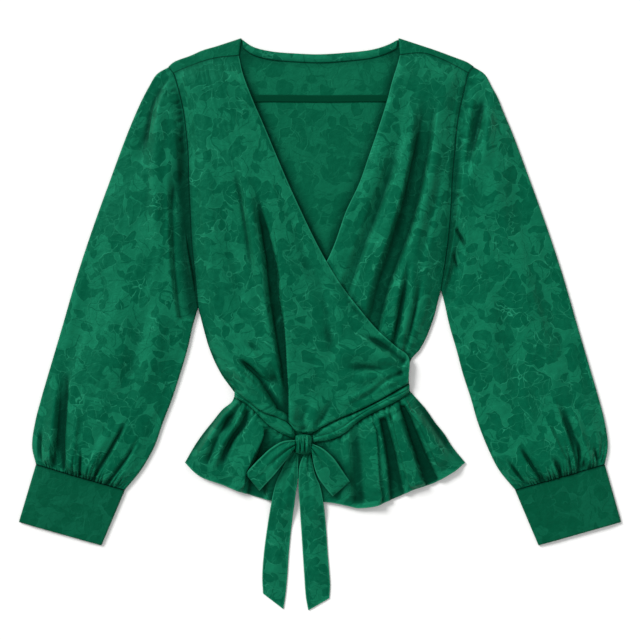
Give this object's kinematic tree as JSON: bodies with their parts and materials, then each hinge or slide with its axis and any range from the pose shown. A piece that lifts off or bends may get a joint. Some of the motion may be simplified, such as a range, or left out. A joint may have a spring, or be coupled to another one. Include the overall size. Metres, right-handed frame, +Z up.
{
  "type": "wrap top",
  "caption": "Long-sleeved wrap top laid flat: V neck of crossed fronts, deep cuffs, a tied bow at the waist and a gathered peplum.",
  "frame": {"origin": "centre of the laid garment's outline, on the surface it rests on", "axes": "+X towards the wearer's left sleeve, +Y towards the neck, +Z up, out of the front"},
  "size_m": [0.772, 0.733, 0.0151],
  "materials": {
    "cloth": "green satin with a tone-on-tone woven leaf and flower pattern",
    "tape": "plain dark green woven tape"
  },
  "bodies": {
    "root": {"back_bodice": "cloth", "back_neck_binding": "cloth", "back_stay_tape": "tape", "front_right": "cloth", "front_left": "cloth", "sleeve_right": "cloth", "sleeve_left": "cloth", "cuff_right": "cloth", "cuff_left": "cloth", "back_peplum": "cloth", "peplum_front_right": "cloth", "peplum_front_left": "cloth", "tie_right": "cloth", "tie_left": "cloth", "knot": "cloth", "bow_loop_right": "cloth", "bow_loop_left": "cloth", "tie_tail_right": "cloth", "tie_tail_left": "cloth"}
  },
  "joints": []
}
